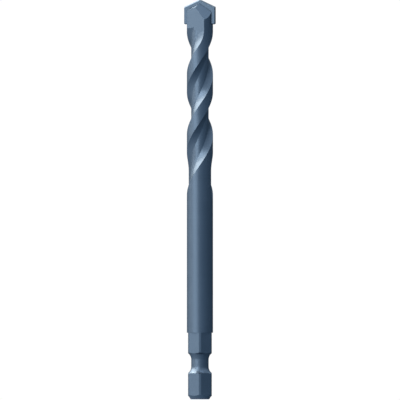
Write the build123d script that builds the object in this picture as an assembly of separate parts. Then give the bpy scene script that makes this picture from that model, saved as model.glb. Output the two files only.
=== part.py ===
from build123d import *
import math
import os

# Pilot drill bit with a carbide tip, in millimetres.
# The origin is the centre of the shank's end face, +Z runs up to the tip and -Y is the front.
# Angles are in degrees about +Z, counted from +X towards +Y.

# Height at which the lines of the two cutting edges meet, and the diameter of the steel rod
apex_height = 106.9
rod_diameter = 7.0

# Hollow bevel round the end of the shank
end_face_diameter = 5.0
end_bevel_height = 1.2
end_bevel_hollow = 0.08

# Hex shank with its power groove
hex_sides = 6
hex_across_flats = 6.35
hex_turn = 30.0
shank_length = 17.8
groove_diameter = 4.68
groove_floor_height = 8.7
groove_floor_length = 1.95
groove_flank_radius = 2.05

# Two helical flutes, each a round floor between two straight walls
flute_count = 2
core_diameter = 4.68
flute_lead_length = 32.35
flute_floor_span = 58.0
flute_wall_span = 34.5
trailing_edge_front_drop = 11.9
straighten_length = 4.35
section_spacing = 0.9

# Tail of the flutes, where the leading edges straighten and the trailing edges close in on them
full_flute_length = 41.53
exit_length = 3.1
exit_lift = 0.37
exit_end_margin = 0.5

# Head, where the trailing walls straighten into two flats
head_flat_thickness = 4.6
head_flat_angle = -120.8

# Ground top of the steel, a lip facet and a heel facet for each flute
lip_facet_drop = 0.43
lip_facet_rise_along = 28.4
lip_facet_rise_across = 28.8
heel_facet_lift = 0.66
heel_facet_fall_along = 34.7
heel_facet_rise_across = 57.4

# Carbide plate in its slot
plate_width = 8.22
plate_thickness = 2.0
plate_height = 6.65
plate_turn = -10.65
plate_foot_chamfer = 0.2
point_angle = 130.0
clearance_angle = 7.5
edge_hone_height = 0.32
edge_hone_depth = 0.25

# Layer of filler that holds the plate
filler_thickness = 0.1

# Waste that a cut takes past the steel
cut_reach = 14.0
facet_cut_width = 56.0
cut_overlap = 1.0
wall_overcut = 1.5

trailing_edge_front_height = apex_height - trailing_edge_front_drop
tail_start = apex_height - full_flute_length
lip_facet_height = apex_height - lip_facet_drop
heel_facet_height = apex_height + heel_facet_lift
plate_bottom_height = apex_height - plate_height
rod_radius = rod_diameter / 2
core_radius = core_diameter / 2
twist_rate = 360.0 / flute_lead_length
front_angle = -90.0
flat_distance = head_flat_thickness / 2
flat_half_span = math.degrees(math.acos(flat_distance / rod_radius))
straight_edge_angle = head_flat_angle + flat_half_span
flute_span = flute_floor_span + 2 * flute_wall_span
straighten_start = (
    trailing_edge_front_height
    + (straight_edge_angle - front_angle) / twist_rate
    - straighten_length / 2
)
head_height = straighten_start + straighten_length
closing_height = tail_start - straighten_length / 2 - flute_span / twist_rate
exit_start = closing_height + exit_length
exit_end = closing_height + exit_end_margin


def polar(radius, angle):
    """Returns the XY point at a radius and an angle."""
    return Vector(radius * math.cos(math.radians(angle)), radius * math.sin(math.radians(angle)))


def helix_angle(z):
    """Returns the angle that the plain helix of the trailing edge has at a height."""
    return front_angle + twist_rate * (z - trailing_edge_front_height)


def eased_turn(length):
    """Returns the turn of an edge that eases from the helix to a straight line over a length."""
    run = min(length, straighten_length)
    return twist_rate * (run - run**2 / (2 * straighten_length))


def trailing_angle(z):
    """Returns the trailing edge's angle, which straightens in the head."""
    if z <= straighten_start:
        return helix_angle(z)
    return helix_angle(straighten_start) + eased_turn(z - straighten_start)


def leading_angle(z):
    """Returns the leading edge's angle, which straightens in the tail."""
    if z >= tail_start:
        return helix_angle(z) - flute_span
    return helix_angle(tail_start) - flute_span - eased_turn(tail_start - z)


def flute_section(z):
    """Returns the outline of the flute's waste at a height, shallower as the tail closes in."""
    trailing = trailing_angle(z)
    leading = leading_angle(z)
    middle = (trailing + leading) / 2
    share = (helix_angle(z) - leading) / flute_span
    floor_radius = rod_radius - (rod_radius - core_radius) * share
    level = Vector(0, 0, z) + polar(exit_lift * max(exit_start - z, 0.0) / exit_length, middle)
    trailing_foot = polar(floor_radius, trailing - flute_wall_span * share)
    leading_foot = polar(floor_radius, leading + flute_wall_span * share)
    floor_middle = polar(floor_radius, middle)
    trailing_top = trailing_foot + (polar(rod_radius, trailing) - trailing_foot) * wall_overcut
    leading_top = leading_foot + (polar(rod_radius, leading) - leading_foot) * wall_overcut
    crown = polar(trailing_top.length, middle)
    return Wire(
        [
            Edge.make_line(level + leading_top, level + leading_foot),
            Edge.make_three_point_arc(
                level + leading_foot, level + floor_middle, level + trailing_foot
            ),
            Edge.make_line(level + trailing_foot, level + trailing_top),
            Edge.make_three_point_arc(level + trailing_top, level + crown, level + leading_top),
        ]
    )


def flat_block(near, far, left, right, low, high):
    """Returns a block in the head flat's own frame, near and far being distances from the axis."""
    block = Box(far - near, right - left, high - low, align=(Align.MIN, Align.MIN, Align.MIN))
    return Rot(0, 0, head_flat_angle) * Pos(near, left, low) * block


def below_facet(height, rise_along, rise_across):
    """Returns the waste above a facet that is tilted along and across the plate."""
    slope_along = math.tan(math.radians(rise_along))
    slope_across = math.tan(math.radians(rise_across))
    facet = Plane(origin=(0, 0, height), z_dir=(-slope_along, -slope_across, 1))
    block = Box(
        facet_cut_width, facet_cut_width, cut_reach, align=(Align.CENTER, Align.CENTER, Align.MIN)
    )
    return Rot(0, 0, plate_turn) * (facet.location * block)


def all_round(waste):
    """Returns the waste repeated once for each flute."""
    return [Rot(0, 0, 360.0 * i / flute_count) * waste for i in range(flute_count)]


def turned_blank():
    """Returns the turned rod with its bevelled end and its groove, before milling."""
    end_radius = end_face_diameter / 2
    neck_radius = groove_diameter / 2
    flank_rise = neck_radius + groove_flank_radius - rod_radius
    flank_length = math.sqrt(groove_flank_radius**2 - flank_rise**2)
    groove_top = groove_floor_height + groove_floor_length
    bevel_middle = (
        (end_radius + rod_radius) / 2 - end_bevel_hollow,
        0,
        end_bevel_height / 2 + end_bevel_hollow,
    )
    centre_radius = neck_radius + groove_flank_radius
    half_turn = math.asin(flank_length / groove_flank_radius) / 2
    flank_middle_radius = centre_radius - groove_flank_radius * math.cos(half_turn)
    flank_middle_run = groove_flank_radius * math.sin(half_turn)
    outline = [
        Edge.make_line((0, 0, 0), (end_radius, 0, 0)),
        Edge.make_three_point_arc(
            (end_radius, 0, 0), bevel_middle, (rod_radius, 0, end_bevel_height)
        ),
        Edge.make_line(
            (rod_radius, 0, end_bevel_height), (rod_radius, 0, groove_floor_height - flank_length)
        ),
        Edge.make_three_point_arc(
            (rod_radius, 0, groove_floor_height - flank_length),
            (flank_middle_radius, 0, groove_floor_height - flank_middle_run),
            (neck_radius, 0, groove_floor_height),
        ),
        Edge.make_line((neck_radius, 0, groove_floor_height), (neck_radius, 0, groove_top)),
        Edge.make_three_point_arc(
            (neck_radius, 0, groove_top),
            (flank_middle_radius, 0, groove_top + flank_middle_run),
            (rod_radius, 0, groove_top + flank_length),
        ),
        Edge.make_line((rod_radius, 0, groove_top + flank_length), (rod_radius, 0, apex_height)),
        Edge.make_line((rod_radius, 0, apex_height), (0, 0, apex_height)),
        Edge.make_line((0, 0, apex_height), (0, 0, 0)),
    ]
    return revolve(Face(Wire(outline)), Axis.Z, 360)


def hex_waste():
    """Returns the waste round the hex shank, up to its plane shoulder."""
    ring = Circle(rod_diameter) - RegularPolygon(
        hex_across_flats / 2, hex_sides, major_radius=False, rotation=hex_turn
    )
    return extrude(ring, shank_length)


def flute_waste():
    """Returns the waste of one flute, less the web that stands behind the head's flat."""
    floor_meets_flat = math.degrees(math.acos(flat_distance / core_radius))
    top = trailing_edge_front_height + (
        head_flat_angle + flute_floor_span + flute_wall_span - front_angle
    ) / twist_rate
    count = math.ceil((top - exit_end) / section_spacing)
    heights = [exit_end + (top - exit_end) * i / count for i in range(count + 1)]
    waste = Solid.make_loft([flute_section(z) for z in heights])
    foot_rise = (
        head_flat_angle + floor_meets_flat + flute_wall_span - helix_angle(straighten_start)
    ) / twist_rate
    web_start = straighten_start + straighten_length * (
        1 - math.sqrt(1 - 2 * foot_rise / straighten_length)
    )
    web = flat_block(0, flat_distance, 0, cut_reach, web_start, top + cut_overlap)
    return waste - web


def steel_head_shape():
    """Returns the steel body before its slot is cut."""
    body = turned_blank() - hex_waste()
    for waste in all_round(flute_waste()):
        body -= waste
    flat = flat_block(
        flat_distance, cut_reach, -cut_reach, cut_reach, head_height, apex_height + cut_overlap
    )
    lip = below_facet(lip_facet_height, lip_facet_rise_along, lip_facet_rise_across)
    heel = below_facet(heel_facet_height, -heel_facet_fall_along, heel_facet_rise_across)
    for cut in (flat, lip, heel):
        for waste in all_round(cut):
            body -= waste
    return body


def slot_shape():
    """Returns the slot that is sawn across the head for the plate."""
    bottom = plate_bottom_height - filler_thickness
    width = plate_thickness + 2 * filler_thickness
    slot = Box(cut_reach, width, cut_reach, align=(Align.CENTER, Align.CENTER, Align.MIN))
    return Rot(0, 0, plate_turn) * Pos(0, 0, bottom) * slot


def carbide_plate():
    """Returns the carbide plate with its roof, clearance and honed cutting edges."""
    height = apex_height - plate_bottom_height
    plate = Box(
        plate_width, plate_thickness, height, align=(Align.CENTER, Align.CENTER, Align.MIN)
    )
    plate = Rot(0, 0, plate_turn) * Pos(0, 0, plate_bottom_height) * plate
    foot = plate.edges().group_by(Axis.Z)[0]
    plate = chamfer(foot, plate_foot_chamfer)
    roof_fall = 90.0 - point_angle / 2
    clearance = math.tan(math.radians(clearance_angle))
    roof_height = apex_height - clearance * plate_thickness / 2
    hone_slope = clearance + edge_hone_height / edge_hone_depth
    hone_height = apex_height - edge_hone_height + hone_slope * plate_thickness / 2
    roof = below_facet(roof_height, -roof_fall, clearance_angle)
    hone = below_facet(hone_height, roof_fall, math.degrees(math.atan(hone_slope)))
    for cut in (roof, hone):
        for waste in (cut, Rot(0, 0, 180) * cut):
            plate -= waste
    return plate


steel_head = steel_head_shape()
slot = slot_shape()
carbide_tip = carbide_plate()
drill_body = steel_head - slot
braze_joint = (steel_head & slot) - carbide_tip

os.makedirs("parts", exist_ok=True)
export_step(drill_body, "parts/drill_body.step")
export_step(carbide_tip, "parts/carbide_tip.step")
export_step(braze_joint, "parts/braze_joint.step")
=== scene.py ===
"""Dresses the pilot drill bit: finishes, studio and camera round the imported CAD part."""

import logging
import math
from dataclasses import dataclass
from enum import Enum
from typing import Any, Union

import bmesh
import bpy
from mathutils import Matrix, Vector

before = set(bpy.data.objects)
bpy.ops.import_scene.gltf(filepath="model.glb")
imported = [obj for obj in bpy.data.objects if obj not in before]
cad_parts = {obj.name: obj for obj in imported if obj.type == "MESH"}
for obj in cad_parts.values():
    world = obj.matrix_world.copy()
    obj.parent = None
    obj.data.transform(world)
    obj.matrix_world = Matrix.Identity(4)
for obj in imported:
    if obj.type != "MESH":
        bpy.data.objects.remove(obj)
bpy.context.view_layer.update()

log = logging.getLogger("pilot_drill_bit")

Colour = tuple[float, float, float]
Point = tuple[float, float, float]
Input = Union["Signal", bpy.types.NodeSocket, float, tuple]

MM_PER_M = 1000.0
WHITE: Colour = (1.0, 1.0, 1.0)

# Middle of the noise's range, and the finer layers that plain and rich noise have
NOISE_MIDDLE = 0.5
PLAIN_DETAIL = 2.0
RICH_DETAIL = 4.0

# Numbers of a Mix node's sockets for colours
UNDER_SOCKET = 6
OVER_SOCKET = 7
MIXED_SOCKET = 2


class Joining(Enum):
    """How a colour is laid over another one."""

    OVER = "MIX"
    TIMES = "MULTIPLY"


class LampTint(Enum):
    """The colour of a lamp's light."""

    WARM = (1.33, 1.02, 0.77)
    MILD = (1.16, 1.03, 0.9)
    PLAIN = (1.0, 1.0, 1.0)


def opaque(colour: Colour) -> tuple[float, float, float, float]:
    """Returns the colour with full alpha, as a node's socket takes it."""
    return (*colour, 1.0)


class Signal:
    """A socket that takes part in Python arithmetic by adding Math nodes."""

    def __init__(self, net: "ShaderNet", socket: bpy.types.NodeSocket) -> None:
        """Keeps the net and the socket.

        Args:
            net: The net that new nodes go to.
            socket: The output that the signal stands for.
        """
        self.net = net
        self.socket = socket

    def _maths(self, operation: str, *values: Input) -> "Signal":
        """Adds one Math node.

        Args:
            operation: The Math node's operation.
            values: The node's inputs, in order.

        Returns:
            The node's output.
        """
        node = self.net.node("ShaderNodeMath", {"operation": operation}, dict(enumerate(values)))
        return Signal(self.net, node.outputs[0])

    def __add__(self, other: Input) -> "Signal":
        """Adds."""
        return self._maths("ADD", self, other)

    __radd__ = __add__

    def __sub__(self, other: Input) -> "Signal":
        """Subtracts."""
        return self._maths("SUBTRACT", self, other)

    def __rsub__(self, other: Input) -> "Signal":
        """Subtracts from a number."""
        return self._maths("SUBTRACT", other, self)

    def __mul__(self, other: Input) -> "Signal":
        """Multiplies."""
        return self._maths("MULTIPLY", self, other)

    __rmul__ = __mul__

    def __truediv__(self, other: Input) -> "Signal":
        """Divides."""
        return self._maths("DIVIDE", self, other)

    def __rtruediv__(self, other: Input) -> "Signal":
        """Divides a number."""
        return self._maths("DIVIDE", other, self)

    def root(self) -> "Signal":
        """Takes the square root."""
        return self._maths("SQRT", self)

    def sine(self) -> "Signal":
        """Takes the sine of an angle in radians."""
        return self._maths("SINE", self)

    def cosine(self) -> "Signal":
        """Takes the cosine of an angle in radians."""
        return self._maths("COSINE", self)

    def most(self, other: Input) -> "Signal":
        """Takes the larger of two values."""
        return self._maths("MAXIMUM", self, other)

    def rise(self, low: float, high: float) -> "Signal":
        """Turns the value into a smooth step from 0 to 1.

        Args:
            low: The value where the step is 0.
            high: The value where the step is 1, which may be below low.

        Returns:
            The step.
        """
        step = self.net.node(
            "ShaderNodeMapRange",
            {"interpolation_type": "SMOOTHSTEP", "clamp": True},
            {"Value": self, "From Min": low, "From Max": high, "To Min": 0.0, "To Max": 1.0},
        )
        return Signal(self.net, step.outputs["Result"])


Place = tuple[Signal, Signal, Signal]


class ShaderNet:
    """One node tree, with one method that adds any node."""

    def __init__(self, owner: Union[bpy.types.Material, bpy.types.World]) -> None:
        """Clears the owner's node tree.

        Args:
            owner: The material or world that the tree belongs to.
        """
        owner.use_nodes = True
        self.tree = owner.node_tree
        self.tree.nodes.clear()

    def node(
        self, kind: str, settings: dict[str, Any], inputs: dict[Union[str, int], Input]
    ) -> bpy.types.Node:
        """Adds a node.

        Args:
            kind: The node's type.
            settings: Its properties, which are set first.
            inputs: The values or links of its sockets, by name or number.

        Returns:
            The node.
        """
        made = self.tree.nodes.new(kind)
        for name, value in settings.items():
            setattr(made, name, value)
        for name, value in inputs.items():
            source = value.socket if isinstance(value, Signal) else value
            if isinstance(source, bpy.types.NodeSocket):
                self.tree.links.new(source, made.inputs[name])
            else:
                made.inputs[name].default_value = source
        return made

    def position(self) -> Place:
        """Reads where a point of the object is.

        Returns:
            The object's X, Y and Z in millimetres.
        """
        place = self.node("ShaderNodeTexCoord", {}, {})
        parts = self.node("ShaderNodeSeparateXYZ", {}, {0: place.outputs["Object"]})
        x, y, z = (Signal(self, out) * MM_PER_M for out in parts.outputs)
        return x, y, z

    def noise(self, place: Place, sizes: Point, detail: float = PLAIN_DETAIL) -> Signal:
        """Adds noise.

        Args:
            place: The three coordinates that it follows.
            sizes: The size of a grain along each coordinate, in that coordinate's units.
            detail: How many finer layers the noise has.

        Returns:
            The noise, from 0 to 1 and mostly near its middle.
        """
        x, y, z = (part / size for part, size in zip(place, sizes))
        grains = self.node("ShaderNodeCombineXYZ", {}, {0: x, 1: y, 2: z})
        texture = self.node(
            "ShaderNodeTexNoise", {}, {"Vector": grains.outputs[0], "Scale": 1.0, "Detail": detail}
        )
        return Signal(self, texture.outputs[0])

    def grey(self, level: Signal) -> bpy.types.NodeSocket:
        """Makes a grey colour of a level."""
        return self.node("ShaderNodeCombineColor", {}, {0: level, 1: level, 2: level}).outputs[0]

    def blend(self, how: Joining, share: Input, under: Input, over: Input) -> bpy.types.NodeSocket:
        """Mixes two colours.

        Args:
            how: The way that the second colour is laid on.
            share: How much of the second colour shows.
            under: The first colour.
            over: The second colour.

        Returns:
            The mixed colour's socket.
        """
        laid = [opaque(value) if isinstance(value, tuple) else value for value in (under, over)]
        mixed = self.node(
            "ShaderNodeMix",
            {"data_type": "RGBA", "blend_type": how.value},
            {0: share, UNDER_SOCKET: laid[0], OVER_SOCKET: laid[1]},
        )
        return mixed.outputs[MIXED_SOCKET]


@dataclass(frozen=True)
class MetalFinish:
    """A coated metal: its colours, its gloss, its wear and its tool marks.

    Each spread is the change over the whole range of the noise, and the mark depth is in
    millimetres. The wear starts and is full at two values of the noise that it follows, and its
    share is how much of the worn colour shows where it is full. The edge tint holds back the
    pale rim that bare metal has at grazing angles.
    """

    name: str
    colour: Colour
    worn_colour: Colour
    roughness: float
    roughness_spread: float
    tone_spread: float
    mark_depth: float
    wear_start: float
    wear_full: float
    wear_share: float
    edge_tint: Colour = (0.55, 0.6, 0.65)

    def shade(self, net: ShaderNet, marks: Signal, mottle: Signal, rubbing: Signal) -> None:
        """Adds the metal's shader.

        Args:
            net: The material's net.
            marks: Height of the tool marks, as noise.
            mottle: Slow variation of the coating, as noise.
            rubbing: The noise that the wear follows.
        """
        spread = (mottle - NOISE_MIDDLE) * self.tone_spread
        tone = 1.0 + spread + (marks - NOISE_MIDDLE) * self.tone_spread
        coated = net.blend(Joining.TIMES, 1.0, self.colour, net.grey(tone))
        wear = rubbing.rise(self.wear_start, self.wear_full) * self.wear_share
        colour = net.blend(Joining.OVER, wear, coated, self.worn_colour)
        roughness = self.roughness + (mottle - NOISE_MIDDLE) * self.roughness_spread
        bump = net.node(
            "ShaderNodeBump",
            {},
            {"Height": marks, "Strength": 1.0, "Distance": self.mark_depth / MM_PER_M},
        )
        metal = net.node(
            "ShaderNodeBsdfPrincipled",
            {},
            {
                "Base Color": colour,
                "Metallic": 1.0,
                "Roughness": roughness,
                "Specular Tint": opaque(self.edge_tint),
                "Normal": bump.outputs[0],
            },
        )
        net.node("ShaderNodeOutputMaterial", {}, {"Surface": metal.outputs[0]})


@dataclass
class SteelBody:
    """The steel of the bit, with turned and fluted stretches, its sizes in millimetres.

    The streaks of the flutes start and are full at two depths below the lands, and they fade in
    over the blend's length on each side of the flutes' lower end.
    """

    finish: MetalFinish
    flute_start: float = 53.4
    flute_start_blend: float = 0.5
    flute_lead: float = 32.35
    land_radius: float = 3.5
    streak_start_depth: float = 0.03
    streak_full_depth: float = 0.1
    ring_pitch: float = 0.11
    streak_width: float = 0.16
    streak_length: float = 9.0
    mottle_size: float = 4.5
    fine_size: float = 0.5

    def flute_share(self, radius: Signal, z: Signal) -> Signal:
        """Finds the flutes, which are cut below the lands.

        Args:
            radius: The distance from the axis.
            z: The height.

        Returns:
            How far the surface belongs to a flute, from 0 to 1.
        """
        below_land = radius.rise(
            self.land_radius - self.streak_start_depth, self.land_radius - self.streak_full_depth
        )
        above_tail = z.rise(
            self.flute_start - self.flute_start_blend, self.flute_start + self.flute_start_blend
        )
        return below_land * above_tail

    def material(self) -> bpy.types.Material:
        """Builds the coated steel, with turned rings and with streaks along the flutes.

        Returns:
            The material.
        """
        steel = bpy.data.materials.new(self.finish.name)
        net = ShaderNet(steel)
        place = net.position()
        x, y, z = place
        radius = (x * x + y * y).root()
        turn = z * (-2 * math.pi / self.flute_lead)
        cosine = turn.cosine()
        sine = turn.sine()
        along_flutes = (x * cosine - y * sine, x * sine + y * cosine, z)
        rings = net.noise(place, (self.mottle_size, self.mottle_size, self.ring_pitch))
        streaks = net.noise(
            along_flutes, (self.streak_width, self.streak_width, self.streak_length)
        )
        marks = rings + (streaks - rings) * self.flute_share(radius, z)
        mottle = net.noise(place, (self.mottle_size,) * 3, RICH_DETAIL)
        fine = net.noise(place, (self.fine_size,) * 3)
        self.finish.shade(net, marks, mottle, fine + mottle)
        return steel

    def build(self) -> None:
        """Gives the steel body its finish."""
        dress("drill_body", self.material())


@dataclass
class CarbidePlate:
    """The ground plate that cuts, and the filler in its slot, their sizes in millimetres."""

    finish: MetalFinish
    filler_finish: MetalFinish
    plate_turn: float = -10.65
    grind_width: float = 0.07
    grind_length: float = 2.5
    grain_size: float = 0.25
    mottle_size: float = 1.6

    def plate_material(self) -> bpy.types.Material:
        """Builds the carbide, with fine grinding lines across the plate.

        Returns:
            The material.
        """
        carbide = bpy.data.materials.new(self.finish.name)
        net = ShaderNet(carbide)
        place = net.position()
        x, y, z = place
        turn = math.radians(self.plate_turn)
        along = x * math.cos(turn) + y * math.sin(turn)
        across = y * math.cos(turn) - x * math.sin(turn)
        lines = net.noise(
            (along, across, z), (self.grind_width, self.grind_length, self.grind_length)
        )
        mottle = net.noise(place, (self.mottle_size,) * 3, RICH_DETAIL)
        grain = net.noise(place, (self.grain_size,) * 3)
        self.finish.shade(net, lines, mottle, grain + mottle)
        return carbide

    def filler_material(self) -> bpy.types.Material:
        """Builds the filler, which is grainy where it has run.

        Returns:
            The material.
        """
        filler = bpy.data.materials.new(self.filler_finish.name)
        net = ShaderNet(filler)
        place = net.position()
        grain = net.noise(place, (self.grain_size,) * 3, RICH_DETAIL)
        mottle = net.noise(place, (self.mottle_size,) * 3)
        self.filler_finish.shade(net, grain, mottle, mottle)
        return filler

    def build(self) -> None:
        """Gives the plate and its filler their finishes."""
        dress("carbide_tip", self.plate_material())
        dress("braze_joint", self.filler_material())


def dress(node: str, material: bpy.types.Material) -> None:
    """Gives a CAD node its material.

    Args:
        node: The CAD node's name.
        material: The material for its whole surface.
    """
    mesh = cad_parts[node].data
    mesh.materials.clear()
    mesh.materials.append(material)
    log.info("%s: %s", node, material.name)


def put_in_scene(name: str, data: bpy.types.ID) -> bpy.types.Object:
    """Makes an object of a mesh, a light or a camera.

    Args:
        name: The object's name.
        data: What it shows.

    Returns:
        The object, at the origin.
    """
    made = bpy.data.objects.new(name, data)
    bpy.context.scene.collection.objects.link(made)
    return made


def put_surface(
    name: str, shape: bmesh.types.BMesh, material: bpy.types.Material
) -> bpy.types.Object:
    """Makes an object of a finished shape, and frees the shape.

    Args:
        name: The object's name.
        shape: Its vertices and faces.
        material: The material for its whole surface.

    Returns:
        The object, at the origin.
    """
    mesh = bpy.data.meshes.new(name)
    shape.to_mesh(mesh)
    shape.free()
    mesh.materials.append(material)
    return put_in_scene(name, mesh)


@dataclass(frozen=True)
class Lamp:
    """A flat soft lamp that points at the middle of the bit.

    Its azimuth runs from the front towards +X, in degrees, and its sizes are in metres.
    """

    name: str
    azimuth: float
    elevation: float
    width: float
    height: float
    radiance: float
    tint: LampTint
    distance: float = 1.0

    def build(self, aim: Vector) -> None:
        """Makes the lamp.

        Args:
            aim: The point that it faces.
        """
        light = bpy.data.lights.new(self.name, "AREA")
        light.shape = "RECTANGLE"
        light.size = self.width
        light.size_y = self.height
        light.energy = self.radiance * math.pi * self.width * self.height
        light.color = self.tint.value
        lamp = put_in_scene(self.name, light)
        azimuth = math.radians(self.azimuth)
        elevation = math.radians(self.elevation)
        back = Vector(
            (
                math.sin(azimuth) * math.cos(elevation),
                -math.cos(azimuth) * math.cos(elevation),
                math.sin(elevation),
            )
        )
        lamp.location = aim + back * self.distance
        lamp.rotation_euler = back.to_track_quat("Z", "Y").to_euler()
        lamp.visible_camera = False
        log.info("lamp %s", self.name)


@dataclass
class Studio:
    """White surroundings, pale floor, gloss card, lamps and the camera, its sizes in metres.

    The gloss card's level falls by its slope towards +X and by its back slope towards the back,
    outside a small hub where it is even. Its floor share is how bright its floor is next to its
    wall, and the foot share is the part of the wall's height over which it brightens.
    """

    aim: Point = (0.0, 0.0, 0.0533)
    floor_size: float = 3.0
    floor_colour: Colour = (0.88, 0.88, 0.88)
    floor_roughness: float = 0.9
    fill_level: float = 0.45
    seen_level: float = 1.02
    card_radius: float = 1.4
    card_height: float = 0.556
    card_hub_radius: float = 0.001
    card_lift: float = 0.0001
    card_segments: int = 96
    card_level: float = 0.695
    card_slope: float = 0.39
    card_back_slope: float = 0.36
    card_floor_share: float = 0.87
    card_foot_share: float = 0.125
    card_dark_colour: Colour = (0.8, 1.0, 1.17)
    camera_scale: float = 0.10695
    camera_centre: Point = (0.00002, -0.5, 0.05329)
    camera_reach: tuple[float, float] = (0.01, 10.0)
    # Name, azimuth, elevation, width, height, radiance and tint
    lamps: tuple[Lamp, ...] = (
        Lamp("side_window", -109.5, 37.3, 1.31, 0.88, 5.6, LampTint.WARM),
        Lamp("side_skylight", -88.1, 61.0, 0.48, 0.40, 2.4, LampTint.WARM),
        Lamp("back_skylight", -163.0, 62.0, 0.80, 0.50, 12.0, LampTint.WARM),
        Lamp("front_window", -41.3, 28.4, 0.63, 0.73, 2.3, LampTint.MILD),
        Lamp("low_strip", -40.6, 11.2, 0.78, 0.37, 2.06, LampTint.MILD),
        Lamp("ceiling", 56.0, 80.0, 0.35, 0.50, 2.8, LampTint.PLAIN),
    )

    def build_world(self) -> None:
        """Makes the surroundings white where they are seen and even where they light."""
        world = bpy.data.worlds.new("surroundings")
        bpy.context.scene.world = world
        net = ShaderNet(world)
        path = net.node("ShaderNodeLightPath", {}, {})
        seen = Signal(net, path.outputs["Is Camera Ray"])
        for name in ("Is Glossy Ray", "Is Transmission Ray"):
            seen = seen.most(Signal(net, path.outputs[name]))
        level = self.fill_level + (self.seen_level - self.fill_level) * seen
        light = net.node("ShaderNodeBackground", {}, {"Color": opaque(WHITE), "Strength": level})
        net.node("ShaderNodeOutputWorld", {}, {"Surface": light.outputs[0]})

    def build_floor(self) -> None:
        """Makes the pale floor that the bit stands on."""
        paper = bpy.data.materials.new("pale_paper")
        net = ShaderNet(paper)
        sheet = net.node(
            "ShaderNodeBsdfPrincipled",
            {},
            {"Base Color": opaque(self.floor_colour), "Roughness": self.floor_roughness},
        )
        net.node("ShaderNodeOutputMaterial", {}, {"Surface": sheet.outputs[0]})
        shape = bmesh.new()
        bmesh.ops.create_grid(shape, x_segments=1, y_segments=1, size=self.floor_size / 2)
        floor = put_surface("floor", shape, paper)

    def card_material(self) -> bpy.types.Material:
        """Builds the card's glow, which is dimmer and bluer towards +X and dimmer at the back.

        Returns:
            The material.
        """
        graded = bpy.data.materials.new("graded_card")
        net = ShaderNet(graded)
        x, y, z = net.position()
        reach = (x * x + y * y).root().most(self.card_hub_radius * MM_PER_M)
        side = x / reach
        behind = (y / reach).most(0.0)
        on_wall = z.rise(0.0, self.card_height * MM_PER_M * self.card_foot_share)
        level = self.card_level - self.card_slope * side - self.card_back_slope * behind * behind
        level = level * (self.card_floor_share + (1.0 - self.card_floor_share) * on_wall)
        tone = net.blend(Joining.OVER, side.rise(-1.0, 1.0), WHITE, self.card_dark_colour)
        light = net.blend(Joining.TIMES, 1.0, tone, net.grey(level))
        glow = net.node("ShaderNodeEmission", {}, {"Color": light, "Strength": 1.0})
        net.node("ShaderNodeOutputMaterial", {}, {"Surface": glow.outputs[0]})
        return graded

    def build_card(self) -> None:
        """Makes the round card with a low wall that only reflections show."""
        shape = bmesh.new()
        bmesh.ops.create_circle(
            shape, cap_ends=True, segments=self.card_segments, radius=self.card_radius
        )
        rim = [edge for edge in shape.edges if edge.is_boundary]
        wall = bmesh.ops.extrude_edge_only(shape, edges=rim)["geom"]
        raised = [part for part in wall if isinstance(part, bmesh.types.BMVert)]
        bmesh.ops.translate(shape, verts=raised, vec=(0.0, 0.0, self.card_height))
        bmesh.ops.translate(shape, verts=shape.verts[:], vec=(0.0, 0.0, self.card_lift))
        card = put_surface("gloss_card", shape, self.card_material())
        card.visible_camera = False
        card.visible_diffuse = False
        card.visible_shadow = False

    def build_camera(self) -> None:
        """Makes the level camera, which looks along +Y without perspective."""
        data = bpy.data.cameras.new("camera")
        data.type = "ORTHO"
        data.ortho_scale = self.camera_scale
        data.clip_start, data.clip_end = self.camera_reach
        camera = put_in_scene("camera", data)
        camera.location = self.camera_centre
        camera.rotation_euler = (math.pi / 2, 0.0, 0.0)
        bpy.context.scene.camera = camera

    def build(self) -> None:
        """Makes everything that isn't part of the object."""
        bpy.context.scene.view_settings.view_transform = "Standard"
        self.build_world()
        self.build_floor()
        self.build_card()
        for lamp in self.lamps:
            lamp.build(Vector(self.aim))
        self.build_camera()
        log.info("studio built")


def main() -> None:
    """Builds the bit's finishes and the studio, and reports each piece."""
    logging.basicConfig(level=logging.INFO)
    steel = MetalFinish(
        name="blued_steel",
        colour=(0.081, 0.126, 0.19),
        worn_colour=(0.12, 0.17, 0.235),
        roughness=0.4,
        roughness_spread=0.12,
        tone_spread=0.10,
        mark_depth=0.0012,
        wear_start=1.25,
        wear_full=1.5,
        wear_share=0.25,
    )
    carbide = MetalFinish(
        name="carbide",
        colour=(0.081, 0.126, 0.19),
        worn_colour=(0.125, 0.175, 0.235),
        roughness=0.34,
        roughness_spread=0.1,
        tone_spread=0.12,
        mark_depth=0.0008,
        wear_start=1.2,
        wear_full=1.5,
        wear_share=0.3,
    )
    braze = MetalFinish(
        name="braze",
        colour=(0.06, 0.09, 0.13),
        worn_colour=(0.1, 0.13, 0.15),
        roughness=0.5,
        roughness_spread=0.15,
        tone_spread=0.25,
        mark_depth=0.004,
        wear_start=0.55,
        wear_full=0.75,
        wear_share=0.3,
    )
    SteelBody(steel).build()
    CarbidePlate(carbide, braze).build()
    Studio().build()


if __name__ == "__main__":
    main()
